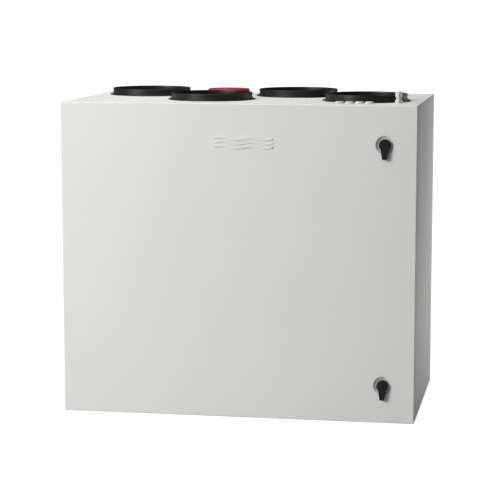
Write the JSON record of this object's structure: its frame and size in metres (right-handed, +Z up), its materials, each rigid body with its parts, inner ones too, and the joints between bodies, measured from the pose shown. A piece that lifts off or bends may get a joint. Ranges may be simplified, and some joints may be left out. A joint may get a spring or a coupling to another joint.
{
  "type": "heat recovery ventilation unit",
  "caption": "Upright ventilation unit with rotary heat exchanger, plug fans, panel filters, hinged front door, quarter-turn locks and round duct spigots on top.",
  "frame": {"origin": "centre of the cabinet's footprint, on the floor", "axes": "+Z up, +X to the right of a person facing the door, the door faces -Y"},
  "size_m": [1.07, 0.6504, 0.979],
  "materials": {
    "white_paint": "fine powder coat",
    "galvanised": "zinc spangle",
    "wool": "mineral wool",
    "steel": "zinc plated",
    "foil": "wound aluminium foil, light",
    "aluminium": "satin",
    "black_plastic": "moulded, semi-matt",
    "rubber": "matt",
    "motor_paint": "dark, satin",
    "red_plastic": "moulded",
    "pale_plastic": "moulded",
    "card": "plain",
    "filter_cloth": "non-woven",
    "board": "solder mask"
  },
  "bodies": {
    "cabinet": {"side_panels": "white_paint", "top_panel": "white_paint", "base_panel": "white_paint", "back_panel": "white_paint", "panel_screws": "steel", "wall_insulation": "wool", "inner_liner": "galvanised", "front_frame": "galvanised", "divider_shelves": "galvanised", "upper_shelf": "galvanised", "outdoor_riser": "galvanised", "centre_wall": "galvanised", "supply_plenum": "galvanised", "rotor_cassette": "galvanised", "rotor_axle": "steel", "brush_seals": "rubber", "drive_belt": "rubber", "drive_motor": "motor_paint", "fan_inlet_rings": "galvanised", "fan_motors": "motor_paint", "fan_brackets": "galvanised", "filter_frames": "card", "filter_media": "filter_cloth", "filter_rails": "galvanised", "heater_frame": "galvanised", "heater_elements": "steel", "control_tray": "galvanised", "control_board": "board", "control_cover": "black_plastic", "temperature_probes": "steel", "outdoor_spigot": "black_plastic", "exhaust_spigot": "black_plastic", "extract_spigot": "black_plastic", "supply_spigot": "black_plastic", "hood_spigot": "galvanised", "bypass_pipe": "galvanised", "cable_grommets": "pale_plastic", "gland_body": "pale_plastic", "gland_nut": "pale_plastic", "cabinet_hinge_leaves": "steel", "hinge_pins": "steel", "lock_keepers": "steel"},
    "door": {"door_skin": "white_paint", "door_insulation": "wool", "door_inner_panel": "galvanised", "door_gasket": "rubber", "door_hinge_leaves": "steel", "lock_housings": "black_plastic"},
    "upper_lock": {"upper_lever": "black_plastic", "upper_cam": "steel"},
    "lower_lock": {"lower_lever": "black_plastic", "lower_cam": "steel"},
    "heat_wheel": {"wheel_bearings": "steel", "wheel_hub": "aluminium", "wheel_matrix": "foil", "wheel_rim": "aluminium"},
    "pulley": {"motor_pulley": "black_plastic"},
    "supply_fan": {"supply_impeller": "black_plastic"},
    "exhaust_fan": {"exhaust_impeller": "black_plastic"},
    "cap": {"hood_cap": "red_plastic"}
  },
  "joints": [
    {"name": "door_hinge", "type": "hinge", "parent": "cabinet", "child": "door", "pos_m": [-0.53, -0.2775, 0.4725], "axis": [0, 0, -1], "range_deg": [0, 100]},
    {"name": "upper_lock_turn", "type": "hinge", "parent": "door", "child": "upper_lock", "pos_m": [0.4406, -0.3175, 0.8295], "axis": [0, -1, 0], "range_deg": [0, 90]},
    {"name": "lower_lock_turn", "type": "hinge", "parent": "door", "child": "lower_lock", "pos_m": [0.4406, -0.3175, 0.1144], "axis": [0, -1, 0], "range_deg": [0, 90]},
    {"name": "wheel_spin", "type": "hinge", "parent": "cabinet", "child": "heat_wheel", "pos_m": [0.015, 0.004, 0.3165], "axis": [1, 0, 0], "continuous": true},
    {"name": "pulley_spin", "type": "hinge", "parent": "cabinet", "child": "pulley", "pos_m": [0.015, -0.218, 0.5385], "axis": [1, 0, 0], "continuous": true},
    {"name": "supply_fan_spin", "type": "hinge", "parent": "cabinet", "child": "supply_fan", "pos_m": [0.356, -0.086, 0.38], "axis": [0, 0, 1], "continuous": true},
    {"name": "exhaust_fan_spin", "type": "hinge", "parent": "cabinet", "child": "exhaust_fan", "pos_m": [-0.362, -0.12, 0.65], "axis": [0, 0, 1], "continuous": true},
    {"name": "cap_lift", "type": "slide", "parent": "cabinet", "child": "cap", "axis": [0, 0, 1], "range_m": [0, 0.08]}
  ],
  "couplings": [
    {"joint": "pulley_spin", "follows": "wheel_spin", "ratio": 13.678}
  ]
}
